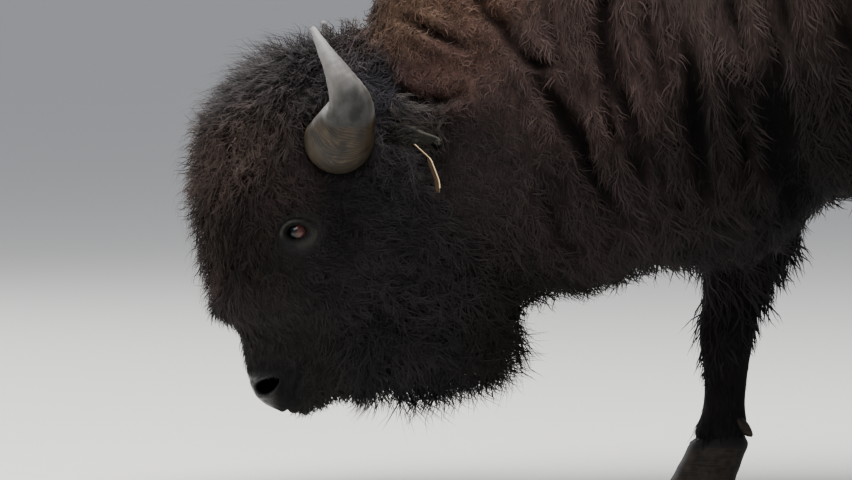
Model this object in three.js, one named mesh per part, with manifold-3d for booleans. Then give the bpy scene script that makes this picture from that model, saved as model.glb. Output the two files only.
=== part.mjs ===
// An American bison bull, grazing: head low, near foreleg trailing, on four flat hooves.
// Millimetres, +Z up. The animal faces -X and its left side is -Y. Every outline is that of the
// coat, out to the tips of the hair. The body is lofted whole and then parted by thin cuts.
import * as THREE from "three";
import { mergeVertices } from "three/addons/utils/BufferGeometryUtils.js";
import Module from "manifold-3d";

const wasm = await Module();
wasm.setup();

// Driving sizes. X is counted from midway between the elbows; the end of the file recentres it.
const gap = 0.6; // between two nodes that were cut apart or stand against each other
const humpHeight = 1780;
const humpX = 90;
const lipHeight = 151; // the lips graze this high above the floor
const coronetHeight = 78; // where hair ends and hoof begins
const far = 3000;

const neckCut = { x: -652, z: 620, lean: -0.47 }; // behind the ears and the jaw
const browCut = { x: -955, z: 560, lean: 0.23 }; // behind the bonnet
const mouthCut = { x: -908, z: 225, lean: 0.36 }; // between upper lip and lower jaw
const chin = { x: -862, top: 300 }; // the beard starts behind the chin and below this height
const shoulderCutX = -330;
const barrelCutX = 360;
const loinCutX = 960;
const tailTuftTop = 880;

const eye = { x: -914, y: 133, z: 476, radius: 20, hollow: [66, 68, 48] };
const nostril = { x: -974, y: 60, z: 199, radii: [22, 16, 13] };
const claw = { length: 124, width: 50, toeReach: 34, cleft: 7, hindSize: 0.94 };
const ear = { root: [-752, 158, 668], tip: [-664, 262, 641], width: 62, depth: 24, wall: 5 };
const tag = {
  top: [-716, -275, 634], lean: 0.56, neck: [20, 26], panel: [58, 72], corner: 9, thick: 2.2,
};

// Upright sections of neck and trunk: crown and keel are the fullness above and below the widest.
const trunkStations = [
  { x: -870, top: 905, bottom: 560, half: 120, widest: 700, crown: 2.0, keel: 2.0 },
  { x: -800, top: 985, bottom: 440, half: 170, widest: 690, crown: 2.0, keel: 2.0 },
  { x: -640, top: 1160, bottom: 345, half: 232, widest: 710, crown: 1.9, keel: 2.1 },
  { x: -450, top: 1370, bottom: 340, half: 290, widest: 750, crown: 1.8, keel: 2.1 },
  { x: -310, top: 1520, bottom: 378, half: 328, widest: 800, crown: 1.7, keel: 2.1 },
  { x: -100, top: 1700, bottom: 415, half: 362, widest: 850, crown: 1.6, keel: 2.2 },
  { x: humpX, top: humpHeight, bottom: 545, half: 370, widest: 890, crown: 1.55, keel: 2.2 },
  { x: 320, top: 1730, bottom: 560, half: 362, widest: 900, crown: 1.6, keel: 2.2 },
  { x: 560, top: 1575, bottom: 572, half: 352, widest: 900, crown: 1.75, keel: 2.2 },
  { x: 800, top: 1425, bottom: 625, half: 332, widest: 930, crown: 1.9, keel: 2.2 },
  { x: 1010, top: 1345, bottom: 722, half: 300, widest: 990, crown: 2.1, keel: 2.1 },
  { x: 1200, top: 1315, bottom: 790, half: 272, widest: 1030, crown: 2.3, keel: 2.1 },
  { x: 1370, top: 1262, bottom: 840, half: 234, widest: 1040, crown: 2.3, keel: 2.1 },
  { x: 1500, top: 1190, bottom: 890, half: 180, widest: 1040, crown: 2.2, keel: 2.1 },
];
const trunkEnds = { front: 130, rump: 190 };

// Level sections of the head: bonnet, brow and cheeks; then the muzzle; then the beard.
const craniumStations = [
  { z: 262, front: -990, rear: -600, half: 92 },
  { z: 300, front: -1036, rear: -575, half: 120 },
  { z: 342, front: -1084, rear: -552, half: 150 },
  { z: 419, front: -1110, rear: -545, half: 178 },
  { z: 480, front: -1122, rear: -558, half: 190 },
  { z: 565, front: -1134, rear: -588, half: 204 },
  { z: 632, front: -1124, rear: -612, half: 207 },
  { z: 700, front: -1092, rear: -640, half: 200 },
  { z: 770, front: -1048, rear: -690, half: 176 },
  { z: 854, front: -985, rear: -740, half: 140 },
];
const muzzleStations = [
  { z: lipHeight, front: -985, rear: -865, half: 56 },
  { z: 190, front: -996, rear: -852, half: 66 },
  { z: 222, front: -1004, rear: -842, half: 71 },
  { z: 262, front: -1010, rear: -832, half: 71 },
  { z: 300, front: -1020, rear: -822, half: 80 },
  { z: 400, front: -1050, rear: -800, half: 112 },
];
const beardStations = [
  { z: 150, front: -842, rear: -560, half: 52 },
  { z: 200, front: -872, rear: -540, half: 84 },
  { z: 260, front: -880, rear: -508, half: 112 },
  { z: 330, front: -880, rear: -490, half: 134 },
  { z: 420, front: -870, rear: -500, half: 150 },
];
const sheathStations = [
  { z: 425, front: 655, rear: 690, half: 12 },
  { z: 490, front: 622, rear: 712, half: 34 },
  { z: 580, front: 590, rear: 730, half: 46 },
];

// Legs: how far the coat stands ahead of, behind and beside the leg's axis at each height.
const foreTable = [
  { z: coronetHeight, ahead: 56, behind: 56, half: 53 },
  { z: 110, ahead: 47, behind: 50, half: 46 },
  { z: 150, ahead: 49, behind: 55, half: 47 },
  { z: 200, ahead: 48, behind: 52, half: 43 },
  { z: 250, ahead: 57, behind: 66, half: 49 },
  { z: 306, ahead: 67, behind: 76, half: 57 },
  { z: 360, ahead: 70, behind: 108, half: 65 },
  { z: 416, ahead: 72, behind: 146, half: 76 },
  { z: 480, ahead: 80, behind: 172, half: 88 },
  { z: 620, ahead: 100, behind: 190, half: 105 },
  { z: 780, ahead: 120, behind: 170, half: 105 },
];
const hindTable = [
  { z: coronetHeight, ahead: 55, behind: 54, half: 50 },
  { z: 110, ahead: 45, behind: 46, half: 43 },
  { z: 150, ahead: 47, behind: 52, half: 45 },
  { z: 200, ahead: 40, behind: 44, half: 38 },
  { z: 320, ahead: 37, behind: 43, half: 37 },
  { z: 430, ahead: 44, behind: 56, half: 45 },
  { z: 500, ahead: 56, behind: 82, half: 54 },
  { z: 565, ahead: 68, behind: 100, half: 58 },
  { z: 640, ahead: 96, behind: 94, half: 70 },
  { z: 760, ahead: 168, behind: 132, half: 94 },
  { z: 900, ahead: 222, behind: 172, half: 108 },
  { z: 1060, ahead: 236, behind: 178, half: 114 },
];
const foreHeights = [0, 150, 330, 620]; // hoof, fetlock, knee, elbow
const hindHeights = [0, 150, 520, 1000]; // hoof, fetlock, hock, hip

// The left foreleg trails and the right one leads; the left hind foot stands under the belly.
const limbs = {
  left_fore: {
    side: -1, heights: foreHeights, table: foreTable,
    x: [140, 168, 154, 112], y: [172, 176, 182, 196],
    region: { x: [-10, 340], inner: 70, knee: 330, top: 600 },
  },
  right_fore: {
    side: 1, heights: foreHeights, table: foreTable,
    x: [-178, -154, -149, -146], y: [168, 172, 180, 196],
    region: { x: [-262, 60], inner: 70, knee: 330, top: 600 },
  },
  left_hind: {
    side: -1, heights: hindHeights, table: hindTable,
    x: [1150, 1172, 1212, 1236], y: [168, 168, 165, 152],
    region: { x: [985, 1600], inner: 32, knee: 590, top: 960 },
  },
  right_hind: {
    side: 1, heights: hindHeights, table: hindTable,
    x: [1322, 1344, 1366, 1276], y: [172, 170, 165, 152],
    region: { x: [1020, 1600], inner: 32, knee: 590, top: 960 },
  },
};

// The right horn; the left one mirrors it. It leaves the skull level, then sweeps up and in.
const hornCurve = [
  [-842, 118, 646],
  [-842, 190, 641],
  [-836, 258, 652],
  [-823, 306, 702],
  [-844, 320, 758],
  [-868, 306, 804],
  [-886, 286, 838],
];
const hornRadii = [58, 59, 56, 42, 26, 14, 4.5];
const tailCurve = [
  [1392, 0, 1180],
  [1468, 0, 1172],
  [1522, 0, 1108],
  [1544, 0, 960],
  [1547, 0, 810],
  [1538, 0, 670],
];
const tailRadii = [36, 33, 25, 23, 38, 7];

// ---- curves and lofts ------------------------------------------------------------------------

// Value of one column of a table at a height or length, as a cubic that never overshoots.
function along(stations, key, name, at) {
  const xs = stations.map((s) => s[key]);
  const ys = stations.map((s) => s[name]);
  const last = xs.length - 1;
  if (at <= xs[0]) return ys[0];
  if (at >= xs[last]) return ys[last];
  const slope = (i) => (ys[i + 1] - ys[i]) / (xs[i + 1] - xs[i]);
  const tangent = (i) => {
    if (i === 0 || i === last) return slope(i === 0 ? 0 : last - 1);
    const [a, b] = [slope(i - 1), slope(i)];
    return a * b <= 0 ? 0 : (2 * a * b) / (a + b);
  };
  const k = xs.findIndex((x) => x > at) - 1;
  const h = xs[k + 1] - xs[k];
  const t = (at - xs[k]) / h;
  const s = 1 - t;
  const ends = s * s * (1 + 2 * t) * ys[k] + t * t * (3 - 2 * t) * ys[k + 1];
  return ends + t * s * h * (s * tangent(k) - t * tangent(k + 1));
}

// A closed surface over rings of equal count, each a list of Vector3, with a fan at both ends.
function loft(rings) {
  const count = rings[0].length;
  const points = rings.flat().map((p) => p.clone());
  const faces = [];
  for (let r = 0; r + 1 < rings.length; r++)
    for (let i = 0; i < count; i++) {
      const [a, b] = [r * count + i, r * count + ((i + 1) % count)];
      faces.push(a, b, b + count, a, b + count, a + count);
    }
  for (const r of [0, rings.length - 1]) {
    const middle = points.length;
    const sum = rings[r].reduce((s, p) => s.add(p), new THREE.Vector3());
    points.push(sum.divideScalar(count));
    for (let i = 0; i < count; i++) {
      const ends = [r * count + i, r * count + ((i + 1) % count)];
      faces.push(middle, ...(r ? ends : ends.reverse()));
    }
  }
  const geometry = new THREE.BufferGeometry().setFromPoints(points);
  geometry.setIndex(faces);
  return geometry;
}

// The geometry as a solid, its faces turned outward.
function solid(geometry) {
  const bare = geometry.clone();
  for (const name of ["normal", "uv"]) bare.deleteAttribute(name);
  const merged = mergeVertices(bare, 1e-3);
  const vertProperties = merged.attributes.position.array;
  const triVerts = new Uint32Array(merged.index.array);
  const make = () => new wasm.Manifold(new wasm.Mesh({ numProp: 3, vertProperties, triVerts }));
  const made = make();
  if (made.volume() > 0) return made;
  for (let i = 0; i < triVerts.length; i += 3)
    [triVerts[i + 1], triVerts[i + 2]] = [triVerts[i + 2], triVerts[i + 1]];
  return make();
}

// A signed power, so that a superellipse goes all the way round.
const bent = (v, n) => Math.sign(v) * Math.abs(v) ** (2 / n);

// How far a blunt end has opened at a distance from its tip, 1 from its radius on.
const rounding = (distance, radius) => {
  if (!radius || distance >= radius) return 1;
  return Math.sqrt(1 - (1 - Math.max(0, distance) / radius) ** 2);
};

// Steps from one value to another, drawn a little closer together at both ends.
function steps(from, to, count, endShare = 0.35) {
  return Array.from({ length: count + 1 }, (_, i) => {
    const t = i / count;
    const eased = (1 - Math.cos(Math.PI * t)) / 2;
    return from + (to - from) * (t + (eased - t) * endShare);
  });
}

const around = (count, make) =>
  Array.from({ length: count }, (_, i) => make((2 * Math.PI * i) / count));

// ---- masses of the body ----------------------------------------------------------------------

function trunk(ringCount = 25, sides = 20) {
  const [front, back] = [trunkStations[0].x, trunkStations.at(-1).x];
  const rings = steps(front + 4, back - 3, ringCount, 0.45).map((x) => {
    const at = (name) => along(trunkStations, "x", name, x);
    const open = rounding(x - front, trunkEnds.front) * rounding(back - x, trunkEnds.rump);
    return around(sides, (turn) => {
      const up = Math.sin(turn) >= 0;
      const power = at(up ? "crown" : "keel");
      const reach = up ? at("top") - at("widest") : at("widest") - at("bottom");
      const y = at("half") * bent(Math.cos(turn), power) * open;
      return new THREE.Vector3(x, y, at("widest") + reach * bent(Math.sin(turn), power) * open);
    });
  });
  return solid(loft(rings));
}

// Level sections from a table of front, rear and half width; low and high round off its ends.
function tower(stations, ringCount, sides, { power = 2.2, low = 0, high = 0 } = {}) {
  const [bottom, top] = [stations[0].z, stations.at(-1).z];
  const rings = steps(bottom + (low ? 2 : 0), top - (high ? 2 : 0), ringCount).map((z) => {
    const at = (name) => along(stations, "z", name, z);
    const open = rounding(z - bottom, low) * rounding(top - z, high);
    const [front, rear] = [at("front"), at("rear")];
    const side = stations[0].side === undefined ? 0 : at("side");
    return around(sides, (turn) => {
      const x = (front + rear) / 2 + ((rear - front) / 2) * bent(Math.cos(turn), power) * open;
      return new THREE.Vector3(x, side + at("half") * bent(Math.sin(turn), power) * open, z);
    });
  });
  return solid(loft(rings));
}

const axisAt = ({ heights, x, y }, z) => {
  const joints = heights.map((height, i) => ({ z: height, x: x[i], y: y[i] }));
  return [along(joints, "z", "x", z), along(joints, "z", "y", z)];
};

function legStations(limb) {
  return limb.table.map(({ z, ahead, behind, half }) => {
    const [x, y] = axisAt(limb, z);
    return { z, front: x - ahead, rear: x + behind, half, side: limb.side * y };
  });
}

// A tube of changing radius along a smooth curve.
function tube(curve, radii, ringCount, sides, grow = 0) {
  const spine = new THREE.CatmullRomCurve3(curve);
  const { tangents, normals, binormals } = spine.computeFrenetFrames(ringCount);
  const stations = radii.map((r, i) => ({ t: i / (radii.length - 1), r }));
  const rings = steps(0, 1, ringCount, 0).map((t, k) => {
    const centre = spine.getPointAt(t).addScaledVector(tangents[k], grow * (2 * t - 1));
    const r = along(stations, "t", "r", t) + grow;
    return around(sides, (turn) =>
      centre
        .clone()
        .addScaledVector(normals[k], r * Math.cos(turn))
        .addScaledVector(binormals[k], r * Math.sin(turn)),
    );
  });
  return solid(loft(rings));
}

const mirrored = (points, side) => points.map(([x, y, z]) => new THREE.Vector3(x, side * y, z));

function ellipsoid(centre, radii, turn = 0, detail = 12) {
  const geometry = new THREE.SphereGeometry(1, detail, detail / 2);
  geometry.scale(...radii);
  geometry.rotateY(turn);
  geometry.translate(...centre);
  return solid(geometry);
}

// An ear: a cupped leaf that points back and out, its hollow facing down.
function earLeaf(side, grow = 0, ringCount = 7, sides = 10) {
  const [root, tip] = mirrored([ear.root, ear.tip], side);
  const axis = tip.clone().sub(root).normalize();
  const across = new THREE.Vector3(-axis.y, axis.x, 0).normalize();
  const up = new THREE.Vector3().crossVectors(axis, across);
  up.multiplyScalar(Math.sign(up.z));
  const rings = steps(0, 1, ringCount, 0.5).map((t) => {
    const spread = Math.max(0.08, Math.sin(Math.PI * (0.16 + 0.84 * t)) ** 0.5);
    const reach = (ear.width / 2) * spread;
    const cup = ear.depth * spread * (1 - 0.35 * t);
    const wall = ear.wall * (1 - 0.45 * t) + grow;
    const centre = root.clone().lerp(tip, t).addScaledVector(axis, grow * (2 * t - 1));
    return around(sides, (turn) => {
      const a = (reach + grow) * Math.cos(turn);
      const rise = wall * Math.sin(turn) - cup * (a / reach) ** 2;
      return centre.clone().addScaledVector(across, a).addScaledVector(up, rise);
    });
  });
  return solid(loft(rings));
}

// One claw of a cloven hoof: flat inner wall, rounded outer wall, sloping toe, flat sole.
function hoofClaw(coronetX, footY, inner, size) {
  const rings = [0, 0.5, 0.85, 1].map((t) => {
    const taper = 1 - 0.13 * t;
    const half = (claw.length * size * taper) / 2;
    const middle = coronetX - claw.toeReach * size * (1 - t) + 6;
    return around(12, (turn) => {
      const [c, s] = [Math.cos(turn), Math.sin(turn)];
      const along = c < 0 ? -(Math.abs(c) ** 1.25) : c * 0.92;
      const out = 0.11 + (s > 0 ? 0.84 : 0.1) * s;
      const y = footY + inner * (claw.cleft / 2 + claw.width * size * taper * out);
      return new THREE.Vector3(middle + half * along, y, t * (coronetHeight - gap));
    });
  });
  return solid(loft(rings));
}

// A plain ear tag: a narrow neck and a wide blank panel with cut corners, leaning back.
function tagPlate() {
  const [[neckWidth, neckLength], [width, length]] = [tag.neck, tag.panel];
  const end = -neckLength - length;
  const half = [
    [neckWidth / 2, 0], [neckWidth / 2, -neckLength], [width / 2, -neckLength - tag.corner],
    [width / 2, end + tag.corner], [width / 2 - tag.corner, end],
  ];
  const outline = [...half, ...half.map(([x, y]) => [-x, y]).reverse()];
  const shape = new THREE.Shape(outline.map(([x, y]) => new THREE.Vector2(x, y)));
  const plate = new THREE.ExtrudeGeometry(shape, { depth: tag.thick, bevelEnabled: false });
  const [s, c] = [Math.sin(tag.lean), Math.cos(tag.lean)];
  const axes = [[0, 1, 0], [-s, 0, c], [c, 0, s]].map((v) => new THREE.Vector3(...v));
  plate.applyMatrix4(new THREE.Matrix4().makeBasis(...axes));
  plate.translate(...tag.top);
  return solid(plate);
}

// ---- cuts ------------------------------------------------------------------------------------

function box(low, high) {
  const size = high.map((v, i) => v - low[i]);
  const geometry = new THREE.BoxGeometry(...size);
  geometry.translate(...low.map((v, i) => v + size[i] / 2));
  return solid(geometry);
}

// Everything ahead of an upright plane that leans about Y, moved by a small shift.
function aheadOf({ x, z, lean }, shift) {
  const geometry = new THREE.BoxGeometry(far, 2 * far, 2 * far);
  geometry.translate(-far / 2 + shift, 0, 0);
  geometry.rotateY(lean);
  geometry.translate(x, 0, z);
  return solid(geometry);
}

const largest = (made) => made.decompose().sort((a, b) => b.volume() - a.volume())[0];

// The two sides of a leaning cut, the gap between them.
const parted = (whole, cut) => [
  whole.intersect(aheadOf(cut, -gap / 2)),
  whole.subtract(aheadOf(cut, gap / 2)),
];

// The inside and the outside of a box, the gap between them.
function boxed(whole, low, high) {
  const moved = (amount) => [low.map((v) => v - amount), high.map((v) => v + amount)];
  return [whole.intersect(box(...moved(-gap / 2))), whole.subtract(box(...moved(gap / 2)))];
}

// ---- the whole animal --------------------------------------------------------------------------

let body = trunk()
  .add(tower(craniumStations, 14, 20, { power: 2.25, low: 70, high: 120 }))
  .add(tower(muzzleStations, 8, 16, { power: 2.5, low: 42 }))
  .add(tower(beardStations, 6, 14, { low: 60 }))
  .add(ellipsoid([640, 0, 560], [150, 62, 60], 0.12))
  .add(tower(sheathStations, 5, 10))
  .add(ellipsoid([1005, 0, 705], [62, 54, 92]));

for (const limb of Object.values(limbs)) {
  body = body.add(tower(legStations(limb), 12, 10));
  const [x, y] = axisAt(limb, 118);
  for (const step of [-22, 22])
    body = body.add(ellipsoid([x + 46, limb.side * y + step, 116], [15, 14, 19], 0, 8));
}

const nodes = new Map();
for (const [name, side] of [["left", -1], ["right", 1]]) {
  const curve = mirrored(hornCurve, side);
  const ball = [eye.x, side * eye.y, eye.z];
  nodes.set(name + "_horn", tube(curve, hornRadii, 12, 10));
  nodes.set(name + "_ear", earLeaf(side));
  nodes.set(name + "_eye", ellipsoid(ball, Array(3).fill(eye.radius)));
  body = body
    .subtract(tube(curve, hornRadii, 12, 10, gap))
    .subtract(earLeaf(side, 3))
    .subtract(ellipsoid(ball, Array(3).fill(eye.radius + gap)))
    .subtract(ellipsoid([eye.x - 4, side * 215, eye.z], eye.hollow, 0.2))
    .subtract(ellipsoid([nostril.x, side * nostril.y, nostril.z], nostril.radii, 0.5, 10));
}

// Each leg comes off below the body and is parted at the knee or hock, then gets its two claws.
for (const [name, limb] of Object.entries(limbs)) {
  const { x, inner, knee, top } = limb.region;
  const reach = limb.side < 0 ? [-far, -inner] : [inner, far];
  let leg;
  [leg, body] = boxed(body, [x[0] - 60, reach[0], -1], [x[1] + 60, reach[1], knee]);
  nodes.set(name + "_lower_leg", largest(leg));
  [leg, body] = boxed(body, [x[0], reach[0], knee], [x[1], reach[1], top]);
  nodes.set(name + "_upper_leg", largest(leg));
  const size = name.endsWith("hind") ? claw.hindSize : 1;
  const [coronetX] = axisAt(limb, coronetHeight);
  for (const [which, way] of [["outer", limb.side], ["inner", -limb.side]])
    nodes.set(`${name}_${which}_claw`, hoofClaw(coronetX, limb.side * limb.y[0], way, size));
}

// Head: bonnet, cranium, muzzle, lower jaw and beard.
let [head, rear] = parted(body, neckCut);
let snout, beard;
[snout, head] = boxed(head, [-far, -far, -1], [chin.x, far, chin.top]);
[beard, head] = boxed(head, [chin.x, -far, -1], [0, far, chin.top]);
nodes.set("beard", largest(beard));
parted(snout, mouthCut).forEach((s, i) => nodes.set(["muzzle", "lower_jaw"][i], largest(s)));
parted(head, browCut).forEach((s, i) => nodes.set(["bonnet", "head"][i], largest(s)));

// Trunk: neck, hump and shoulders, barrel, rump.
const trunkCuts = { neck: shoulderCutX, shoulder_hump: barrelCutX, barrel: loinCutX };
for (const [name, x] of Object.entries(trunkCuts)) {
  const [front, back] = parted(rear, { x, z: 0, lean: 0 });
  nodes.set(name, largest(front));
  rear = back;
}

// Tail: a dock that leaves the croup and a hanging tuft.
const tail = (grow) => tube(mirrored(tailCurve, 1), tailRadii, 14, 8, grow);
nodes.set("rump", largest(largest(rear).subtract(tail(gap))));
const [tuft, dock] = boxed(tail(0), [-far, -far, -1], [far, far, tailTuftTop]);
nodes.set("tail_dock", dock);
nodes.set("tail_tuft", tuft);
nodes.set("ear_tag", tagPlate());

const finishes = {
  coat: [0x2b211d, 0.9], bonnet: [0x1d1816, 0.92], cape: [0x3a2a22, 0.92], horn: [0x8d887c, 0.5],
  hoof: [0x2a2724, 0.6], eye: [0x120c0a, 0.1], ear: [0x2a2524, 0.9], tag: [0xc79f63, 0.45],
  muzzle: [0x141213, 0.5],
};
const finishOf = {
  bonnet: "bonnet", head: "bonnet", beard: "bonnet", muzzle: "muzzle", lower_jaw: "muzzle",
  neck: "cape", shoulder_hump: "cape", ear_tag: "tag",
};

function slotOf(name) {
  if (name.endsWith("claw")) return "hoof";
  return finishOf[name] ?? ["horn", "eye", "ear"].find((s) => name.endsWith(s)) ?? "coat";
}

const bison = new THREE.Group();
bison.name = "bison";
const bounds = new THREE.Box3();
for (const [name, made] of nodes) {
  const { vertProperties, triVerts } = made.getMesh();
  const geometry = new THREE.BufferGeometry();
  geometry.setAttribute("position", new THREE.BufferAttribute(vertProperties, 3));
  geometry.setIndex(new THREE.BufferAttribute(triVerts, 1));
  const [color, roughness] = finishes[slotOf(name)];
  const material = new THREE.MeshStandardMaterial({ color, roughness, metalness: 0 });
  material.name = slotOf(name);
  const node = new THREE.Mesh(geometry, material);
  node.name = name;
  bison.add(node);
  geometry.computeBoundingBox();
  bounds.union(geometry.boundingBox);
}
// The origin is the middle of the footprint, at the level of the soles.
const middle = bounds.getCenter(new THREE.Vector3());
bison.position.set(-middle.x, -middle.y, 0);

export default bison;
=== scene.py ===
# Grazing american bison: skin, wool and hair, horns, eyes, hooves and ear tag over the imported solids
import bpy, bmesh, math, time
import numpy as np
from mathutils import Vector, Matrix, noise as turbulence
from mathutils.kdtree import KDTree


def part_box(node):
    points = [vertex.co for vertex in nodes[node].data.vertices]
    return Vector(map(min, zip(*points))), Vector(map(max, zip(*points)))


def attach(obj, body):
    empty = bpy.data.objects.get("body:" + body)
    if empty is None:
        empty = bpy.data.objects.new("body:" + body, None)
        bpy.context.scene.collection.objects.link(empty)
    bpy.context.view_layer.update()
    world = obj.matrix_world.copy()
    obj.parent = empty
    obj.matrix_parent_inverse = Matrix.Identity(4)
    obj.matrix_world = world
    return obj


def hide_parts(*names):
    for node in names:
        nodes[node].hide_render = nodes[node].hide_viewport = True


started = time.time()
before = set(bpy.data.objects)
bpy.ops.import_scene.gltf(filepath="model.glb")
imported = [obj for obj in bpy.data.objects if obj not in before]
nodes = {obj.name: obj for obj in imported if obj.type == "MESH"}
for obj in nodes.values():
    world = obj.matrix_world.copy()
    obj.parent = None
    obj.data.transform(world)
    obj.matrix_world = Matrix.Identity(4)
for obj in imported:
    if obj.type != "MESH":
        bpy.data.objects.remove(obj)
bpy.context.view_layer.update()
rng = np.random.default_rng(7)
bothSides = ((-1, "left"), (1, "right"))

# a spot on the animal is (x, |y|, z) in metres: x counts back from the elbows, |y| out from the middle
eyeSpot, nostrilSpot, earSpot = (-.914, .133, .476), (-.971, .062, .199), (-.712, .200, .684)
eyeLow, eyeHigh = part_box("left_eye")
shiftX = (eyeLow.x + eyeHigh.x) / 2 - eyeSpot[0]


def say(stage):
    print(f"{stage}: {time.time() - started:.1f} s", flush=True)


def place(x, y, z):
    return Vector((x + shiftX, y, z))


def onSide(spot, side):
    x, y, z = spot
    return place(x, side * y, z)


def local(points):  # from the frame's x to the animal's
    p = points.copy()
    p[:, 0] -= shiftX
    return p


def srgb(code):
    parts = [int(code[i:i + 2], 16) / 255 for i in (0, 2, 4)]
    return tuple(c / 12.92 if c <= 0.04045 else ((c + 0.055) / 1.055) ** 2.4 for c in parts)


def mirrored(p):  # both sides of the animal as one
    return np.stack([p[:, 0], np.abs(p[:, 1]), p[:, 2]], 1)


def smooth(a, b, x):  # 0 at a, 1 at b, eased at both ends
    t = np.clip((np.asarray(x, float) - a) / (b - a), 0, 1)
    return t * t * (3 - 2 * t)


def hump(x, middle, width):  # 1 at the middle, dying away over the width
    return np.exp(-((x - middle) / width) ** 2)


def unit(v):
    return v / np.maximum(np.linalg.norm(v, axis=-1, keepdims=True), 1e-9)


def newObject(name, data):
    made = bpy.data.objects.new(name, data)
    bpy.context.scene.collection.objects.link(made)
    return made


def perVertex(mesh, key):
    values = np.empty(len(mesh.vertices) * 3, np.float32)
    mesh.vertices.foreach_get(key, values)
    return values.reshape(-1, 3).astype(float)


def coords(mesh):
    return perVertex(mesh, "co")


def normals(mesh):
    return perVertex(mesh, "normal")


def setCoords(mesh, co):
    mesh.vertices.foreach_set("co", co.astype(np.float32).ravel())
    mesh.update()


def baked(obj):
    graph = bpy.context.evaluated_depsgraph_get()
    mesh = bpy.data.meshes.new_from_object(obj.evaluated_get(graph))
    old = obj.data
    obj.modifiers.clear()
    obj.data = mesh
    bpy.data.meshes.remove(old)
    return mesh


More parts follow.
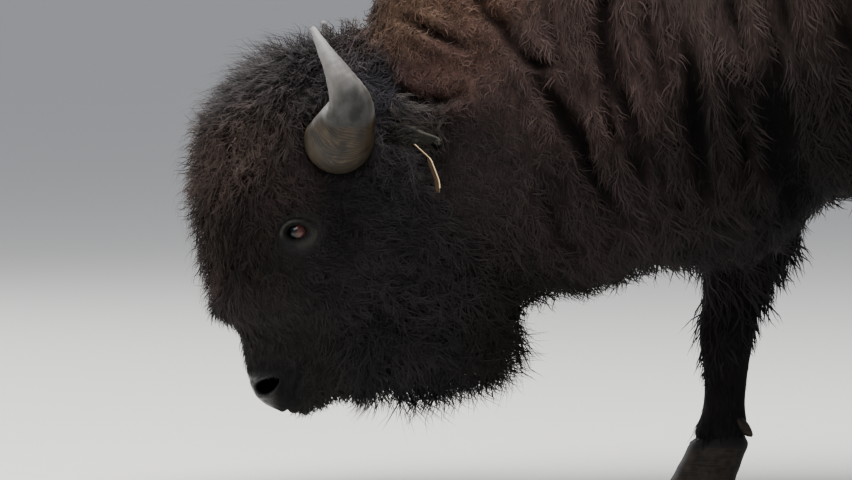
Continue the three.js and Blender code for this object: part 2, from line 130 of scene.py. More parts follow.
# ---- groom guides: the coat of each region, blended between them over the body ----
# spot, skin depth, hair length, lift, curl, lie (x, outward, z), colour
guideRows = dict(
    forehead=((-1.12, 0, .58), .0425, .056, .8, 1, (-.2, .2, -1), "413530"),
    bonnetSide=((-1.04, .17, .62), .0355, .05, .7, 1, (.1, .1, -1), "403530"),
    bonnetLow=((-1.09, .04, .4), .0355, .052, .6, .9, (.1, 0, -1), "322825"),
    bonnetTop=((-1.03, .05, .77), .0505, .066, .8, .8, (-1, .3, -.4), "393535"),
    poll=((-.9, .05, .86), .0555, .07, .7, .6, (-.5, .4, .1), "2e2b2c"),
    hornBack=((-.79, .17, .72), .0205, .044, .4, .5, (.8, .2, -.5), "222024"),
    brow=((-.95, .18, .54), .0165, .032, .5, .8, (.5, .1, -1), "201817"),
    hornRing=((-.838, .2, .655), .003, .036, .55, .6, (.3, .2, -.8), "1d1817"),
    eyeRing=((-.915, .15, .475), .004, .008, .25, 0, (1, 0, -.5), "0f0d0d"),
    eyeFront=((-.985, .125, .46), .0105, .03, .45, .6, (.1, .1, -1), "130f0c"),
    eyeBehind=((-.845, .175, .47), .0085, .028, .35, .4, (1, .1, -.4), "0f0c0d"),
    noseBridge=((-1.03, .03, .31), -.003, .03, .4, .3, (.1, .1, -1), "211d1c"),
    noseSide=((-.96, .08, .29), -.001, .02, .32, .2, (.3, .1, -1), "1a1817"),
    lip=((-.95, .05, .19), -.009, .006, .2, 0, (.2, .1, -1), "100f10"),
    chin=((-.87, .03, .18), -.004, .034, .35, .3, (.4, 0, -1), "1b1a18"),
    cheek=((-.8, .19, .42), .0105, .034, .34, .6, (1, .1, -.6), "1b181a"),
    temple=((-.78, .19, .54), .0125, .034, .32, .5, (1, .1, -.5), "191719"),
    jaw=((-.7, .17, .34), .0165, .044, .36, .5, (.8, .1, -.9), "1b1819"),
    beardTop=((-.74, .12, .26), .0305, .085, .35, .5, (.5, 0, -1), "181518"),
    beardTip=((-.7, .03, .17), .0505, .1, .3, .4, (.4, 0, -1), "131214"),
    earBase=((-.73, .19, .66), .0205, .045, .4, .2, (1, .3, -.2), "383536"),
    throat=((-.52, .05, .34), .0305, .095, .34, .5, (.4, 0, -1), "12100b"),
    neckFront=((-.64, .22, .62), .0145, .042, .3, .8, (.5, 0, -1), "211b1b"),
    napeFront=((-.71, .13, .85), .0205, .045, .5, 1, (.5, .3, -.7), "4b392e"),
    neckUpper=((-.64, .17, .96), .0165, .044, .4, 1, (.5, .3, -.8), "4a352b"),
    napeLow=((-.68, .19, .74), .0155, .044, .42, 1, (.6, .3, -.6), "412f2a"),
    nape=((-.66, 0, 1.14), .0205, .05, .45, 1, (.7, .6, 0), "4a362c"),
    neckSide=((-.42, .29, .78), .0145, .048, .24, .4, (.25, 0, -1), "362a27"),
    neckLow=((-.42, .22, .48), .0185, .066, .3, .4, (.3, 0, -1), "211a19"),
    shoulderHigh=((-.15, .26, 1.4), .0185, .06, .3, .5, (.3, .2, -1), "41332c"),
    shoulder=((-.15, .35, .9), .0125, .05, .2, .3, (.15, 0, -1), "342a27"),
    # painted shade: the hues of shoulderLow, upperArm, elbow, chaps and chapsLow are their own dark brown,
    # darkened further as shade under the body
    shoulderLow=((-.15, .31, .62), .0165, .068, .24, .3, (.2, 0, -1), "181211"),
    upperArm=((-.01, .32, .66), .0145, .064, .22, .3, (.2, 0, -1), "130f0e"),
    humpTop=((.05, .03, 1.77), .0245, .06, .45, .4, (.8, .6, -.1), "46352b"),
    capeRear=((.24, .3, 1.25), .0145, .055, .26, .4, (.6, .1, -.8), "3d2e26"),
    capeLow=((.22, .36, .85), .0125, .05, .24, .3, (.5, 0, -.9), "33261f"),
    brisket=((-.15, .05, .45), .0305, .11, .34, .4, (.3, 0, -1), "1f191b"),
    elbow=((.1, .3, .6), .0185, .075, .3, .3, (.4, 0, -1), "14100f"),
    chaps=((0, .2, .48), .0225, .09, .32, .3, (.3, 0, -1), "131112"),
    chapsLow=((0, .19, .36), .0125, .08, .34, .3, (.3, 0, -1), "121011"),
    foreShin=((0, .18, .2), .006, .013, .2, 0, (.1, 0, -1), "141213"),
    sternum=((.2, .05, .57), .0125, .05, .35, .3, (.9, 0, -.5), "1c1614"),
    barrel=((.6, .35, .95), .0035, .026, .2, .1, (.9, 0, -.5), "30241d"),
    back=((.62, .03, 1.53), .0035, .026, .22, .1, (1, .2, -.2), "3d2d24"),
    loin=((1.02, .05, 1.33), .003, .024, .2, .1, (1, .2, 0), "34271f"),
    flank=((.95, .28, .86), .003, .026, .22, .1, (.7, 0, -.8), "291f1a"),
    belly=((.6, .05, .58), .0065, .035, .3, .2, (1, 0, -.3), "211815"),
    sheathTuft=((.66, .01, .46), .0065, .07, .2, .2, (.3, 0, -1), "171213"),
    croup=((1.36, .08, 1.25), .003, .022, .2, .1, (1, .2, -.3), "32261f"),
    thigh=((1.22, .27, .92), .003, .024, .2, .1, (.4, 0, -1), "281e19"),
    buttock=((1.46, .12, .92), .003, .026, .2, .1, (.1, 0, -1), "271e19"),
    gaskin=((1.24, .2, .65), .003, .02, .2, 0, (.2, 0, -1), "1f1714"),
    hindShin=((1.24, .17, .26), .006, .013, .18, 0, (.1, 0, -1), "171312"),
    tailDock=((1.54, 0, 1.02), .007, .018, .18, 0, (.1, 0, -1), "2b1f19"),
    tailTuft=((1.54, 0, .76), .0045, .09, .15, .1, (0, 0, -1), "151112"),
)
guideKeys = ("at", "depth", "long", "lift", "curl", "lie", "hue")
guides = [dict(zip(guideKeys, row)) for row in guideRows.values()]
guideAt = np.array([g["at"] for g in guides])
guideBlend = dict(power=5.0, blur=.012)


def guideWeights(points):
    p = mirrored(local(points))
    d = np.linalg.norm(p[:, None, :] - guideAt[None], axis=2) + guideBlend["blur"]
    w = d ** -guideBlend["power"]
    return w / w.sum(1, keepdims=True)


def guided(weights, key):
    values = [g[key] for g in guides]
    if key == "hue":
        values = [srgb(code) for code in values]
    return weights @ np.array(values, float)


def lieAt(points, normal, weights):
    d = guided(weights, "lie")
    d[:, 1] *= np.sign(points[:, 1])
    d -= (d * normal).sum(1, keepdims=True) * normal
    return unit(d)


# ---- small noise and mesh helpers ----
def noise(points, size, seed=0):
    away = Vector((seed * 7.3, 0, 0))  # each seed reads another stretch of the noise
    return np.array([turbulence.noise(Vector(p) / size + away) for p in points])


def refine(obj, centre, radii):  # splits the faces near a point once for each radius, then rounds them
    bm = bmesh.new()
    bm.from_mesh(obj.data)
    for radius in radii:
        near = {v for v in bm.verts if (v.co - centre).length < radius}
        edges = [e for e in bm.edges if e.verts[0] in near and e.verts[1] in near]
        bmesh.ops.subdivide_edges(bm, edges=edges, cuts=1, use_grid_fill=True, smooth=0)
        near = [v for v in bm.verts if (v.co - centre).length < radius * 1.05]
        for _ in range(3):
            bmesh.ops.smooth_vert(bm, verts=near, factor=.5, use_axis_x=True, use_axis_y=True,
                                  use_axis_z=True)
    bmesh.ops.triangulate(bm, faces=[f for f in bm.faces if len(f.verts) > 4])
    bm.to_mesh(obj.data)
    bm.free()


def addPoint(mesh, key, values):
    values = np.asarray(values, np.float32)
    kind = "FLOAT" if values.ndim == 1 else "FLOAT_COLOR"
    made = mesh.attributes.new(key, kind, "POINT")
    if values.ndim == 1:
        made.data.foreach_set("value", values)
    else:
        full = np.ones((len(values), 4), np.float32)
        full[:, :3] = values
        made.data.foreach_set("color", full.ravel())


def shadeSmooth(mesh):
    mesh.polygons.foreach_set("use_smooth", np.ones(len(mesh.polygons), bool))


def soften(obj, factor, rounds, group=""):
    soft = obj.modifiers.new("soft", "SMOOTH")
    soft.factor, soft.iterations, soft.vertex_group = factor, rounds, group


def remesh(obj, size, rounds):
    mod = obj.modifiers.new("voxels", "REMESH")
    mod.mode, mod.voxel_size, mod.use_smooth_shade = "VOXEL", size, True
    soften(obj, .5, rounds)
    return baked(obj)


# ---- skin ----
skinLook = dict(voxel=.0085, firstVoxel=.011, offsetSteps=4, keep=127000, lump=.010, lumpSize=.11,
                curl=.0075, curlSize=.040)
plugs = (((-.838, .120, .652), .062), ((-.735, .150, .655), .045), ((-.914, .122, .476), .022))
apart = ("horn", "eye", "claw", "tag", "ear")
flesh = [n for n in nodes if not n.endswith(apart)]


def joinFlesh():
    bm = bmesh.new()
    for n in flesh:
        bm.from_mesh(nodes[n].data)
    bmesh.ops.remove_doubles(bm, verts=bm.verts, dist=1e-5)
    for side in (-1, 1):
        for spot, radius in plugs:  # balls that close the sockets of the horns, ears and eyes
            turn = Matrix.Translation(onSide(spot, side))
            bmesh.ops.create_icosphere(bm, subdivisions=3, radius=radius, matrix=turn)
    mesh = bpy.data.meshes.new("skin")
    bm.to_mesh(mesh)
    bm.free()
    return newObject("skin", mesh)


# draped folds of neck and shoulder: depth, half width, then the (x, z) points of the line
folds = dict(
    nape=(.028, .009, (-.765, .872), (-.739, .86), (-.7, .842), (-.658, .819), (-.625, .8)),
    cushion=(.024, .011, (-.792, .8), (-.775, .775), (-.748, .738), (-.715, .716), (-.67, .708),
             (-.63, .722)),
    crest=(.02, .013, (-.66, .99), (-.594, .869), (-.556, .841), (-.524, .795), (-.491, .766)),
    crestLow=(.03, .015, (-.5, .775), (-.477, .729), (-.458, .687), (-.43, .65), (-.411, .603),
              (-.383, .556), (-.346, .5)),
    crestSide=(.014, .008, (-.495, .745), (-.47, .7), (-.445, .66), (-.425, .62)),
    neckRear=(.03, .015, (-.4, 1.06), (-.388, .883), (-.38, .813), (-.364, .752), (-.346, .696),
              (-.332, .64), (-.305, .58)),
    neckInner=(.018, .009, (-.4, .82), (-.385, .76), (-.372, .69), (-.362, .621), (-.369, .547)),
    neckTwin=(.02, .009, (-.345, .72), (-.336, .706), (-.313, .664), (-.29, .603), (-.272, .55)),
    shoulderFront=(.02, .013, (-.33, 1), (-.308, .855), (-.294, .799), (-.276, .743), (-.262, .687),
                   (-.25, .6)),
    shoulderDeep=(.036, .018, (-.245, .81), (-.228, .745), (-.222, .68), (-.213, .625), (-.198, .55)),
    shoulderTwin=(.02, .012, (-.175, .74), (-.159, .696), (-.145, .65), (-.14, .593), (-.13, .54)),
    shoulderTop=(.014, .018, (-.2, 1.1), (-.17, .98), (-.165, .88), (-.15, .8)),
    hollow=(.038, .034, (-.1, .74), (-.088, .687), (-.085, .621), (-.055, .579), (-.01, .52)),
    crestPocket=(.014, .01, (-.51, .79), (-.5, .783), (-.488, .778), (-.472, .775), (-.458, .774)),
    hollowTop=(.012, .018, (-.07, .98), (-.075, .88), (-.082, .8), (-.088, .72)),
    throatFold=(.014, .012, (-.5, .56), (-.475, .515), (-.455, .475), (-.421, .434)),
    elbowUpper=(.016, .026, (.04, 1.14), (.03, .98), (.05, .83), (.09, .7)),
    ribFront=(.012, .026, (.2, 1.2), (.17, 1.04), (.2, .9), (.24, .76)),
)
foldLook = dict(wander=.006, wanderSize=.09, lip=.30, gap=.0115, gapSize=.055, gapWidth=.13)


def curve(points, count=24):  # an even run of stations on a smooth line through the points
    p = np.array(points, float)
    p = np.vstack([2 * p[0] - p[1], p, 2 * p[-1] - p[-2]])
    t = np.linspace(0, len(p) - 3 - 1e-6, count)
    i, f = t.astype(int), (t % 1)[:, None]
    a, b, c, d = p[i], p[i + 1], p[i + 2], p[i + 3]
    square, cube = 2 * a - 5 * b + 4 * c - d, 3 * b - a - 3 * c + d
    return .5 * (2 * b + (c - a) * f + square * f ** 2 + cube * f ** 3)


def foldDepth(points):
    p = local(points)
    depth = np.zeros(len(p))
    reach = (p[:, 0] > -.8) & (p[:, 0] < .4) & (np.abs(p[:, 1]) > .12) & (p[:, 2] > .4)
    cape = p[reach]
    wander = np.stack([noise(cape, foldLook["wanderSize"], seed) for seed in (1, 2)], 1)
    q = cape[:, (0, 2)] + foldLook["wander"] * wander
    for deep, half, *line in folds.values():
        spine = curve(line)
        d = np.linalg.norm(q[:, None] - spine[None], axis=2)
        fade = np.sin(np.pi * (.1 + .8 * d.argmin(1) / (len(spine) - 1)))
        off = d.min(1)
        depth[reach] += deep * fade * (hump(off, 0, half) - foldLook["lip"] * hump(off, 2.2 * half, half))
    x, y, z = cape.T
    hanging = np.stack([x + .28 * z, .3 * y, .16 * z], 1)
    sunk = noise(hanging, foldLook["gapSize"], 6)  # gaps between the long hanging locks
    area = smooth(-.56, -.46, x) * smooth(.24, .12, x) * smooth(1.25, 1.0, z) * smooth(.40, .5, z)
    depth[reach] += foldLook["gap"] * hump(sunk, 0, foldLook["gapWidth"]) * area
    return depth * smooth(.12, .2, np.abs(p[:, 1]))


def makeSkin():
    skin = joinFlesh()
    mesh = remesh(skin, skinLook["firstVoxel"], 10)
    depth = guided(guideWeights(coords(mesh)), "depth") * smooth(.10, .15, coords(mesh)[:, 2])
    for _ in range(skinLook["offsetSteps"]):
        co = coords(mesh)
        setCoords(mesh, co - normals(mesh) * (depth / skinLook["offsetSteps"])[:, None])
        soften(skin, .5, 2)
        mesh = baked(skin)
    mesh = remesh(skin, skinLook["voxel"], 3)
    co = coords(mesh)
    w = guideWeights(co)
    woolly = smooth(.026, .05, guided(w, "long"))
    lumps = noise(co, skinLook["lumpSize"], 4) * skinLook["lump"] * woolly
    lumps = lumps + noise(co, skinLook["curlSize"], 5) * skinLook["curl"] * guided(w, "curl") * woolly
    setCoords(mesh, co + normals(mesh) * (lumps - foldDepth(co))[:, None])
    x, y, z = mirrored(local(coords(mesh))).T
    haunch = smooth(.98, 1.10, x) * smooth(.74, .86, z) * smooth(1.26, 1.16, z) * smooth(.05, .10, y)
    group = skin.vertex_groups.new(name="haunch")
    for i in np.nonzero(haunch > .02)[0]:
        group.add([int(i)], float(haunch[i]), "REPLACE")
    soften(skin, .7, 60, "haunch")  # the step where the hind leg meets the rump
    fewer = skin.modifiers.new("fewer", "DECIMATE")
    fewer.ratio = skinLook["keep"] / sum(len(p.vertices) - 2 for p in mesh.polygons)
    baked(skin)
    return skin


# creases and rolls run round the slit: distance from it, size, width
lidLook = dict(half=.0176, top=.0136, low=.0130, shift=-.0010, round=2.1, drop=.08, turn=.22, ball=.0198,
               over=.0224, sunk=.0025, blend=.004,
               creases=((.0130, .0032, .0024), (.0245, .0034, .0032), (.035, .003, .004)),
               rolls=((.0065, .0026, .0032), (.0185, .0022, .0034), (.030, .0026, .004)))


def eyeAxes(side):  # centre, then unit vectors ahead, up and outward
    ahead = unit(np.array([-1, -lidLook["turn"] * side, 0]))
    out = unit(np.array([-lidLook["turn"], side, 0]))
    return np.array(onSide(eyeSpot, side)), ahead, np.array([0, 0, 1.0]), out


def lidPlaces(co, side):  # ahead, up and outward from the eye, and how far out from the slit
    centre, ahead, up, out = eyeAxes(side)
    r = co - centre
    u, w = r @ ahead, r @ out
    v = r @ up + u * lidLook["drop"]  # the slit drops a little towards the nose
    across = u - lidLook["shift"]
    high = np.where(v > 0, lidLook["top"], lidLook["low"])
    power = lidLook["round"]
    q = ((np.abs(across) / lidLook["half"]) ** power + (np.abs(v) / high) ** power) ** (1 / power)
    reach = np.hypot(across, v)
    behind = np.clip(-across / np.maximum(reach, 1e-5), 0, 1) ** 2
    return u, v, w, reach * (1 - 1 / np.maximum(q, .05)) * (1 - .42 * behind)


def carveEye(obj, side):
    refine(obj, onSide(eyeSpot, side), (.085, .062, .040))
    mesh = obj.data
    co = coords(mesh)
    u, v, w, off = lidPlaces(co, side)
    reach = np.hypot(u, v)
    dome = np.sqrt(np.clip(lidLook["over"] ** 2 - reach ** 2, 0, None))
    mix = np.clip(.5 + .5 * (dome - w) / lidLook["blend"], 0, 1)
    raised = w + (dome - w) * mix + lidLook["blend"] * mix * (1 - mix)
    raised = np.where(reach < lidLook["over"] * .985, raised, w)
    upper = .25 + .75 * smooth(-.004, .006, v)
    for far, deep, thin in lidLook["creases"]:
        raised -= deep * hump(off, far, thin) * upper * smooth(.052, .036, reach)
    for far, rise, thin in lidLook["rolls"]:
        raised += rise * hump(off, far, thin) * upper
    inside = smooth(.0004, -.0010, off)
    under = np.sqrt(np.clip(lidLook["ball"] ** 2 - reach ** 2, 0, None)) - lidLook["sunk"]
    near = (w > -.008) & (reach < .060)
    target = np.where(near, raised * (1 - inside) + under * inside, w)
    setCoords(mesh, co + eyeAxes(side)[3] * (target - w)[:, None])


muzzleLook = dict(nostrilLong=.0235, nostrilHigh=.0145, hole=.024, wing=.0035, mouth=.0042, lips=.0014,
                  cleft=.0022, wrinkle=.0008)


def carveMuzzle(obj):  # gives 1 deep inside a nostril, 0 outside
    refine(obj, place(-.94, 0, .20), (.135, .118))
    for side in (-1, 1):
        refine(obj, onSide(nostrilSpot, side), (.040,))
    mesh = obj.data
    co, n = coords(mesh), normals(mesh)
    x, y, z = mirrored(local(co)).T
    u, v = x - nostrilSpot[0], z - nostrilSpot[2]
    bend = v - .35 * u - 9 * u * u  # the nostril is a comma, its tail up and back
    q = np.sqrt((u / muzzleLook["nostrilLong"]) ** 2 + (bend / muzzleLook["nostrilHigh"]) ** 2)
    on = (y > .030) & (x < -.93) & (z < .26)
    hole = smooth(1.0, .55, q) * on
    wing = hump(q, 1.25, .28) * on
    line = np.abs(x - (-.908 + .376 * (z - .225)))  # the mouth runs from the lips up to its corner
    mouth = hump(line, 0, .0038) * smooth(.272, .245, z) * smooth(-.85, -.87, x)
    lips = hump(line, .011, .006) * smooth(.265, .235, z)
    cleft = hump(y, 0, .003) * smooth(.245, .21, z) * smooth(-.955, -.97, x)
    wrinkle = np.array([turbulence.noise(Vector(c) * 85) for c in co])
    wrinkle = wrinkle * smooth(.30, .2, z) * smooth(-.88, -.93, x)
    push = muzzleLook["wing"] * wing - muzzleLook["mouth"] * mouth + muzzleLook["lips"] * lips
    push = push - muzzleLook["cleft"] * cleft + muzzleLook["wrinkle"] * wrinkle
    inward = unit(np.sign(co[:, 1:2]) * [0, -.88, 0] + [.40, 0, .20])
    setCoords(mesh, co + n * push[:, None] + inward * (muzzleLook["hole"] * hole)[:, None])
    return hole


def finishSkin(skin, hole):
    mesh = skin.data
    co = coords(mesh)
    w = guideWeights(co)
    p = mirrored(local(co))
    x, z = p[:, 0], p[:, 2]
    fromEye = (p - np.array(eyeSpot) - [.004, 0, .006]) * [1, .6, 1.1]
    bare = smooth(.058, .042, np.linalg.norm(fromEye, axis=1) + noise(co, .02, 8) * .006)
    nose = smooth(.232, .208, z) * smooth(-.945, -.968, x)
    # rim marks a painted light band along the lids, strongest on their front and upper edge; below zero it
    # darkens the lids' inner edge by the slit
    rimLight = np.zeros(len(co))
    for side in (-1, 1):
        u, v, out, off = lidPlaces(co, side)
        near = (out > -.004) & (np.hypot(u, v) < .04)
        front = smooth(-.022, .010, u) * smooth(-.012, .004, v)
        rear = .30 * smooth(.002, -.012, u) * smooth(.012, -.006, v) * hump(off, .0115, .0055)
        rimLight += (hump(off, .0074, .0030) * (.05 + .85 * front) + rear) * near
        rimLight -= .8 * smooth(.0045, .0025, off) * near
    under = smooth(.030, .048, guided(w, "long"))  # painted shade: skin under long wool is darker, as if shaded by it; short hair keeps its own colour
    # shade paints the skin darker under long wool and in the fold creases
    shade = (1 - .25 * under) * (1 - .80 * np.clip(foldDepth(co) / .018, 0, 1))
    # cave marks the inside of the nostrils, painted near black as shade
    marks = dict(rimLight=np.clip(rimLight, 0, 1), wet=np.clip(-rimLight, 0, 1), hue=guided(w, "hue") * shade[:, None],
                 bare=np.clip(bare + nose, 0, 1), moist=nose, caveShade=smooth(.04, .35, hole),
                 upright=lieAt(co, normals(mesh), w)[:, 2] ** 2)
    for key, values in marks.items():
        addPoint(mesh, key, values)
    shadeSmooth(mesh)


def unwrap(obj):
    bpy.context.view_layer.objects.active = obj
    obj.select_set(True)
    bpy.ops.object.mode_set(mode="EDIT")
    bpy.ops.mesh.select_all(action="SELECT")
    bpy.ops.uv.smart_project(angle_limit=1.15, island_margin=0.002)
    bpy.ops.object.mode_set(mode="OBJECT")
    obj.select_set(False)


skin = makeSkin()
for side in (-1, 1):
    carveEye(skin, side)
finishSkin(skin, carveMuzzle(skin))
say(f"skin {len(skin.data.polygons)} faces")
unwrap(skin)
say("skin unwrapped")
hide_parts(*flesh)
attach(skin, "root")


# ---- what tufts grow from ----
class Surface:  # a mesh's triangles, with what the tufts need to grow from them
    def __init__(self, obj):
        mesh = obj.data
        mesh.calc_loop_triangles()
        count = len(mesh.loop_triangles)
        tri, loops = np.empty(count * 3, np.int32), np.empty(count * 3, np.int32)
        mesh.loop_triangles.foreach_get("vertices", tri)
        mesh.loop_triangles.foreach_get("loops", loops)
        self.tri, self.loops = tri.reshape(-1, 3), loops.reshape(-1, 3)
        self.co, self.normal = coords(mesh), normals(mesh)
        uv = np.empty(len(mesh.loops) * 2, np.float32)
        mesh.uv_layers[0].data.foreach_get("uv", uv)
        self.uv = uv.reshape(-1, 2)
        a, b, c = (self.co[self.tri[:, i]] for i in range(3))
        self.area = np.linalg.norm(np.cross(b - a, c - a), axis=1) / 2
        self.centre = (a + b + c) / 3

    def scatter(self, mask, spacing, over=3.0):  # strews too many roots, then keeps one in each small cube
        area = self.area * mask
        count = int(area.sum() / spacing ** 2 * over)
        pick = rng.choice(len(area), count, p=area / area.sum())
        r = rng.random((count, 2))
        s = np.sqrt(r[:, 0])
        bary = np.stack([1 - s, s * (1 - r[:, 1]), s * r[:, 1]], 1)
        p = np.einsum("ij,ijk->ik", bary, self.co[self.tri[pick]])
        cell = np.floor(p / (spacing * 1.12)).astype(np.int64)
        key = cell[:, 0] * 1000003 + cell[:, 1] * 1009 + cell[:, 2]
        _, keep = np.unique(key, return_index=True)
        pick, bary, p = pick[keep], bary[keep], p[keep]
        n = unit(np.einsum("ij,ijk->ik", bary, self.normal[self.tri[pick]]))
        uv = np.einsum("ij,ijk->ik", bary, self.uv[self.loops[pick]])
        return p, n, uv


def nearest(points, centres):  # the number of each point's nearest centre
    tree = KDTree(len(centres))
    for i, c in enumerate(centres):
        tree.insert(c, i)
    tree.balance()
    return np.array([tree.find(p)[1] for p in points])


# ---- tufts ----
# long, lift, curl and tint multiply the guides'; waves, swing and roll shape a tuft's curl; stray turns
# locks and close draws their hairs together; patch and fleck vary the tone over wide and small spots
tuftLook = dict(rings=5, long=1, lift=1, curl=1, waves=1.1, swing=.7, stray=.30, roll=.25, droop=.1,
                close=.35, thick=.35, soft=.80, taper=1.6, patch=.35, fleck=0, mottle=1, flat=False,
                fade=None, tint=1, colour=None, slot="coat", uvPatch=.003, sunk=.003, crease=.017,
                vary=(.7, 1.3))


def tuftPaths(p, n, look, centres, w):  # the middle line of each tuft, from below the skin to its tip
    count, rings = len(p), look["rings"]
    length = guided(w, "long") * look["long"] * rng.uniform(*look["vary"], count)
    if look["fade"]:  # hair shortens from one spot towards another
        near, far, least = look["fade"]
        way = np.array(far) - near
        part = ((p - near) @ way) / (way @ way)
        length *= 1 - (1 - least) * smooth(.05, .7, part)
    crease = np.clip(foldDepth(p) / look["crease"], 0, 1)  # shorter, flatter hair in the folds
    length *= 1 - .55 * crease
    lift = guided(w, "lift") * look["lift"] * (1 - .6 * crease)
    curl = guided(w, "curl") * look["curl"]
    lie = lieAt(p, n, w)
    owner = nearest(p, centres)  # hairs of one lock share their wave and close on its middle
    lock = rng.random((len(centres), 6))[owner]
    own = rng.random((count, 5))
    toward = centres[owner] - p
    toward -= (toward * n).sum(1, keepdims=True) * n
    side = np.cross(n, lie)
    t = np.linspace(0, 1, rings)
    turn = 2 * np.pi * (lock[:, :1] + own[:, :1] * .2)
    swing = look["swing"] * (np.sin(2 * np.pi * look["waves"] * t[None] + turn) - .6 * np.sin(turn))
    heading = (lock[:, 1:2] - .5) * look["stray"] * 2 + (own[:, 1:2] - .5) * look["stray"]
    heading = heading + curl[:, None] * swing
    rise = lift[:, None] * (1.35 - 1.5 * t[None]) + (own[:, 2:3] - .5) * .3 + (lock[:, 2:3] - .5) * .3
    rise += curl[:, None] * look["roll"] * np.cos(2 * np.pi * (t[None] * look["waves"] + lock[:, 3:4]))
    forward = np.cos(heading)[..., None] * lie[:, None] + np.sin(heading)[..., None] * side[:, None]
    step = np.cos(rise)[..., None] * forward + np.sin(rise)[..., None] * n[:, None]
    step[..., 2] -= look["droop"] * t[None]
    step = unit(step) * (length / (rings - 1))[:, None, None]
    path = np.concatenate([np.zeros((count, 1, 3)), np.cumsum(step[:, :-1], 1)], 1) + p[:, None]
    path += toward[:, None] * (look["close"] * t ** 1.3)[None, :, None]
    path -= n[:, None] * look["sunk"]
    return path, t, own, lock, crease


def tuftFaces(count, rings):  # three-sided tufts, closed at the root and drawn to a point
    per = (rings - 1) * 3 + 1
    quads = [[r * 3 + i, r * 3 + 3 + i, r * 3 + 3 + (i + 1) % 3, r * 3 + (i + 1) % 3]
             for r in range(rings - 2) for i in range(3)]
    last = (rings - 2) * 3
    tris = [[last + i, per - 1, last + (i + 1) % 3] for i in range(3)] + [[0, 1, 2]]
    base = (np.arange(count) * per)[:, None]
    loops = np.concatenate([np.array(quads).reshape(1, -1) + base, np.array(tris).reshape(1, -1) + base], 1)
    sizes = np.tile([4] * len(quads) + [3] * len(tris), count)
    return per, loops.ravel(), sizes, (len(quads) * 2 + len(tris)) * count


def meshOf(name, verts, loops, sizes):
    mesh = bpy.data.meshes.new(name)
    mesh.vertices.add(len(verts))
    mesh.vertices.foreach_set("co", np.asarray(verts, np.float32).ravel())
    mesh.loops.add(len(loops))
    mesh.loops.foreach_set("vertex_index", np.asarray(loops, np.int32))
    mesh.polygons.add(len(sizes))
    starts = np.concatenate([[0], np.cumsum(sizes)[:-1]])
    mesh.polygons.foreach_set("loop_start", starts.astype(np.int32))
    mesh.polygons.foreach_set("loop_total", np.asarray(sizes, np.int32))
    shadeSmooth(mesh)
    mesh.update(calc_edges=True)
    return mesh


def fit(obj, slot, mat, *replaced):
    obj.data.materials.append(mat)
    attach(obj, "root")
    if replaced:
        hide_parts(*replaced)
    return obj


def grow(surface, name, mask, **changes):
    look = dict(tuftLook, **changes)
    p, n, uv = surface.scatter(mask, look["spacing"])
    centres = surface.scatter(mask, look["lock"])[0]
    w = guideWeights(p)
    path, t, own, lock, crease = tuftPaths(p, n, look, centres, w)
    count, rings = path.shape[:2]
    tangent = unit(np.gradient(path, axis=1))
    across = unit(np.cross(tangent, n[:, None] + 1e-4))
    up = np.cross(across, tangent)
    roll = ((own[:, 3] - .5) * 1.2)[:, None, None]
    across, up = np.cos(roll) * across + np.sin(roll) * up, np.cos(roll) * up - np.sin(roll) * across
    width = look["width"] * (1 - t ** look["taper"]) * (.6 + .4 * np.minimum(1, t * 4)) * .5
    width = width[None, :] * rng.uniform(*look["vary"], count)[:, None]
    reach = across * width[..., None]
    ring = np.stack([path - reach, path + reach, path + up * (width * look["thick"])[..., None]], 2)
    verts = np.concatenate([ring[:, :-1].reshape(count, -1, 3), path[:, -1:]], 1)
    per, loops, sizes, tris = tuftFaces(count, rings)
    mesh = meshOf(name, verts.reshape(-1, 3), loops, sizes)
    facing = normals(mesh) * (1 - look["soft"]) + np.repeat(n, per, 0) * look["soft"]
    mesh.normals_split_custom_set_from_vertices(unit(facing).tolist())
    along = np.concatenate([np.repeat(t[:-1], 3), [1]])
    cross = np.concatenate([np.tile([0, 1, .5], rings - 1), [.5]])
    tone = (own[:, 0] - .5) * .40 + (lock[:, 4] - .5) * .30 + noise(p, .055, 3) * look["patch"]
    tone = .5 + look["mottle"] * (tone + noise(p, .012, 5) * look["fleck"])
    addPoint(mesh, "along", np.tile(along, count))
    addPoint(mesh, "tone", np.repeat(np.clip(tone, 0, 1), per))
    if look["colour"]:
        hue = np.tile(srgb(look["colour"]), (count, 1))
    else:
        hue = guided(w, "hue") * look["tint"]
    # hair in the fold creases is painted darker as shade
    addPoint(mesh, "hue", np.repeat(hue * (1 - .82 * crease)[:, None], per, 0))
    each = len(loops) // count
    corner = np.stack([cross[loops % per], along[loops % per]], 1)
    spot = np.repeat(uv, each, 0) + (corner - .5) * look["uvPatch"]  # its own small patch at its root
    corner[:, 0] += np.repeat(own[:, 4] * 40, each)  # no two tufts share a stretch of the grain
    for layer, values in (("OFBake", spot), ("strand", corner)):
        mesh.uv_layers.new(name=layer).data.foreach_set("uv", values.astype(np.float32).ravel())
    fit(newObject(name, mesh), look["slot"], flatMaterial if look["flat"] else coatMaterial)
    tuftTotals.append(tris)
    say(f"{name} {count} tufts {tris} tris")


# ---- materials ----
def node(tree, kind, sockets=(), out=0, **settings):  # a socket takes a link, a colour code or a plain value
    made = tree.nodes.new("ShaderNode" + kind)
    for key, value in settings.items():
        setattr(made, key, value)
    for key, value in dict(sockets).items():
        if isinstance(value, bpy.types.NodeSocket):
            tree.links.new(value, made.inputs[key])
        else:
            made.inputs[key].default_value = (*srgb(value), 1) if isinstance(value, str) else value
    return made.outputs[out]


def amount(tree, *parts):
    # multiplies its parts: each is an output, an attribute's name, or either with its old and new range
    total = None
    for part in parts:
        if isinstance(part, tuple):
            source, *span = part
            part = node(tree, "MapRange", enumerate((amount(tree, source), *span)))
        elif isinstance(part, str):
            part = node(tree, "Attribute", out="Fac", attribute_name=part)
        total = part if total is None else node(tree, "Math", {0: total, 1: part}, operation="MULTIPLY")
    return total


